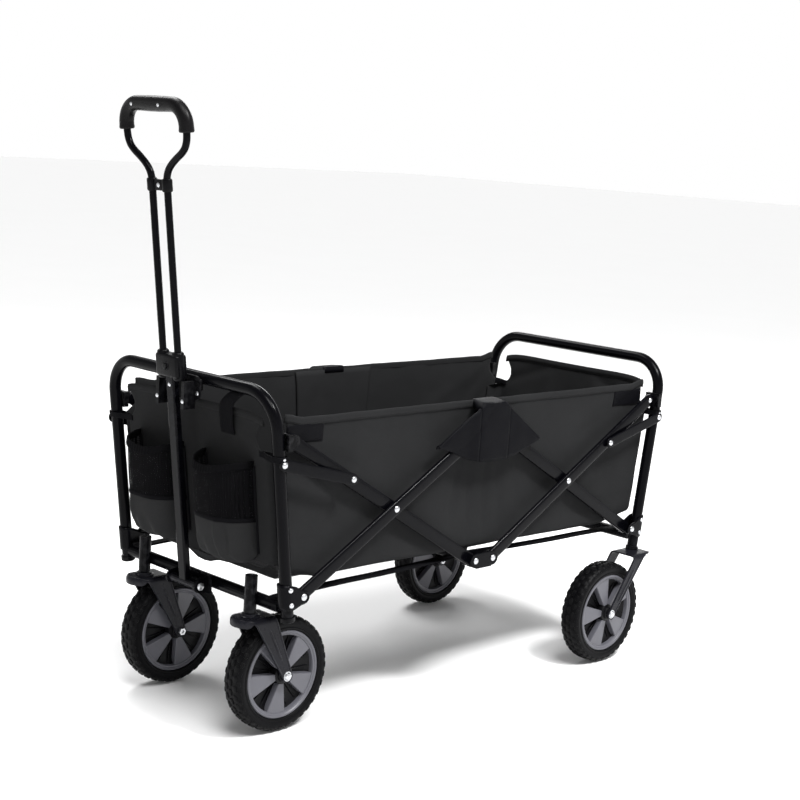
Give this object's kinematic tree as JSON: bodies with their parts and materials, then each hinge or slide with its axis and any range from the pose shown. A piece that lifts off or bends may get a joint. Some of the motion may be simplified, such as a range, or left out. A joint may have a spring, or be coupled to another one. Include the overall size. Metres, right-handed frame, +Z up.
{
  "type": "folding wagon with pull handle",
  "caption": "Folding utility wagon: fabric bin on a crossed-bar steel frame that folds lengthwise, swivel front casters, fixed rear wheels and a telescoping pull handle.",
  "frame": {"origin": "on the floor, under the middle of the overall length and width", "axes": "+X towards the rear of the wagon, away from the handle; +Y towards the far side; +Z up"},
  "size_m": [1.0151, 0.48, 0.9341],
  "materials": {
    "frame_black": "black powder coat on steel tube, semi-gloss",
    "bar_black": "black powder coat on flat-sided tube, semi-gloss",
    "zinc_steel": "bright zinc-plated bolts and nuts",
    "bin_fabric": "charcoal-black coated polyester weave",
    "pocket_mesh": "black open mesh with an elastic hem",
    "tyre_rubber": "black moulded tread",
    "rim_plastic": "grey moulded plastic, satin",
    "black_plastic": "black moulded plastic, satin",
    "base_board": "stiff board covered in black fabric"
  },
  "bodies": {
    "rear_frame": {"base_board": "base_board", "fabric_rear_panel": "bin_fabric", "fabric_trough": "bin_fabric", "rear_axle_far": "zinc_steel", "rear_axle_near": "zinc_steel", "rear_corner_bracket_far": "frame_black", "rear_corner_bracket_near": "frame_black", "rear_cross_tube": "frame_black", "rear_fork_far": "frame_black", "rear_fork_near": "frame_black", "rear_loop": "frame_black"},
    "rear_bars": {"rear_crossed_bar_far": "bar_black", "rear_crossed_bar_near": "bar_black"},
    "rear_links": {"rear_link_far": "bar_black", "rear_link_near": "bar_black"},
    "top_centre": {"fabric_sleeve_far": "bin_fabric", "fabric_sleeve_near": "bin_fabric", "top_bracket_far": "frame_black", "top_bracket_near": "frame_black"},
    "rear_arms": {"rear_arm_saddle_far": "black_plastic", "rear_arm_saddle_near": "black_plastic", "rear_crossed_arm_far": "bar_black", "rear_crossed_arm_near": "bar_black"},
    "low_centre": {"low_centre_carriage": "frame_black"},
    "front_bars": {"front_crossed_bar_far": "bar_black", "front_crossed_bar_near": "bar_black"},
    "front_arms": {"front_arm_saddle_far": "black_plastic", "front_arm_saddle_near": "black_plastic", "front_crossed_arm_far": "bar_black", "front_crossed_arm_near": "bar_black"},
    "front_frame": {"fabric_front_panel": "bin_fabric", "front_corner_bracket_far": "frame_black", "front_corner_bracket_near": "frame_black", "front_cross_tube": "frame_black", "front_loop": "frame_black", "handle_bracket": "frame_black", "handle_holder": "black_plastic", "pocket_far": "pocket_mesh", "pocket_near": "pocket_mesh"},
    "front_links": {"front_link_far": "bar_black", "front_link_near": "bar_black"},
    "caster_near": {"caster_fork_near": "frame_black", "front_axle_near": "zinc_steel"},
    "caster_far": {"caster_fork_far": "frame_black", "front_axle_far": "zinc_steel"},
    "front_wheel_near": {"front_wheel_near_rim": "rim_plastic", "front_wheel_near_tyre": "tyre_rubber"},
    "front_wheel_far": {"front_wheel_far_rim": "rim_plastic", "front_wheel_far_tyre": "tyre_rubber"},
    "rear_wheel_near": {"rear_wheel_near_rim": "rim_plastic", "rear_wheel_near_tyre": "tyre_rubber"},
    "rear_wheel_far": {"rear_wheel_far_rim": "rim_plastic", "rear_wheel_far_tyre": "tyre_rubber"},
    "handle_lower": {"handle_hub": "black_plastic", "handle_lower_bar": "frame_black"},
    "handle_upper": {"handle_collar": "black_plastic", "handle_grip": "black_plastic", "handle_rods_and_loop": "frame_black"},
    "latch_button": {"latch_button": "zinc_steel"}
  },
  "joints": [
    {"name": "fold", "type": "hinge", "parent": "rear_frame", "child": "rear_bars", "pos_m": [0.43297, 0, 0.229], "axis": [0, 1, 0], "range_deg": [0, 51.8], "deforming": ["fabric_trough", "base_board"]},
    {"name": "rear_link_turn", "type": "hinge", "parent": "rear_frame", "child": "rear_links", "pos_m": [0.48363, 0, 0.43], "axis": [0, 1, 0], "range_deg": [0, 77.4]},
    {"name": "top_centre_level", "type": "hinge", "parent": "rear_bars", "child": "top_centre", "pos_m": [0.0615, 0, 0.4452], "axis": [0, -1, 0], "range_deg": [0, 51.8]},
    {"name": "rear_arm_turn", "type": "hinge", "parent": "rear_bars", "child": "rear_arms", "pos_m": [0.24723, 0, 0.3371], "axis": [0, -1, 0], "range_deg": [0, 103.6]},
    {"name": "low_centre_level", "type": "hinge", "parent": "rear_arms", "child": "low_centre", "pos_m": [0.0615, 0, 0.229], "axis": [0, 1, 0], "range_deg": [0, 51.8]},
    {"name": "front_bar_turn", "type": "hinge", "parent": "top_centre", "child": "front_bars", "pos_m": [0.0205, 0, 0.4452], "axis": [0, -1, 0], "range_deg": [0, 51.8]},
    {"name": "front_arm_turn", "type": "hinge", "parent": "front_bars", "child": "front_arms", "pos_m": [-0.16523, 0, 0.3371], "axis": [0, 1, 0], "range_deg": [0, 103.6]},
    {"name": "front_frame_level", "type": "hinge", "parent": "front_bars", "child": "front_frame", "pos_m": [-0.35097, 0, 0.229], "axis": [0, 1, 0], "range_deg": [0, 51.8]},
    {"name": "front_link_turn", "type": "hinge", "parent": "front_frame", "child": "front_links", "pos_m": [-0.40163, 0, 0.43], "axis": [0, -1, 0], "range_deg": [0, 77.4]},
    {"name": "caster_swivel_near", "type": "hinge", "parent": "front_frame", "child": "caster_near", "pos_m": [-0.387, -0.132, 0.19], "axis": [0, 0, 1], "continuous": true},
    {"name": "front_wheel_spin_near", "type": "hinge", "parent": "caster_near", "child": "front_wheel_near", "pos_m": [-0.33, -0.132, 0.09], "axis": [0, 1, 0], "continuous": true},
    {"name": "rear_wheel_spin_near", "type": "hinge", "parent": "rear_frame", "child": "rear_wheel_near", "pos_m": [0.358, -0.209, 0.09], "axis": [0, 1, 0], "continuous": true},
    {"name": "caster_swivel_far", "type": "hinge", "parent": "front_frame", "child": "caster_far", "pos_m": [-0.387, 0.132, 0.19], "axis": [0, 0, 1], "continuous": true},
    {"name": "front_wheel_spin_far", "type": "hinge", "parent": "caster_far", "child": "front_wheel_far", "pos_m": [-0.33, 0.132, 0.09], "axis": [0, 1, 0], "continuous": true},
    {"name": "rear_wheel_spin_far", "type": "hinge", "parent": "rear_frame", "child": "rear_wheel_far", "pos_m": [0.358, 0.209, 0.09], "axis": [0, 1, 0], "continuous": true},
    {"name": "handle_tilt", "type": "hinge", "parent": "front_frame", "child": "handle_lower", "pos_m": [-0.407, 0, 0.2115], "axis": [0, -1, 0], "range_deg": [0, 95]},
    {"name": "handle_telescope", "type": "slide", "parent": "handle_lower", "child": "handle_upper", "axis": [0.124, 0, -0.9923], "range_m": [0, 0.155]},
    {"name": "latch_button_press", "type": "slide", "parent": "handle_lower", "child": "latch_button", "axis": [0.9923, 0, 0.124], "range_m": [0, 0.003], "stiffness_N_per_m": 400, "springref_m": -0.001}
  ],
  "couplings": [
    {"joint": "rear_link_turn", "follows": "fold", "ratio": 1.494},
    {"joint": "top_centre_level", "follows": "fold", "ratio": 1},
    {"joint": "rear_arm_turn", "follows": "fold", "ratio": 2},
    {"joint": "low_centre_level", "follows": "fold", "ratio": 1},
    {"joint": "front_bar_turn", "follows": "fold", "ratio": 1},
    {"joint": "front_arm_turn", "follows": "fold", "ratio": 2},
    {"joint": "front_frame_level", "follows": "fold", "ratio": 1},
    {"joint": "front_link_turn", "follows": "fold", "ratio": 1.494}
  ]
}
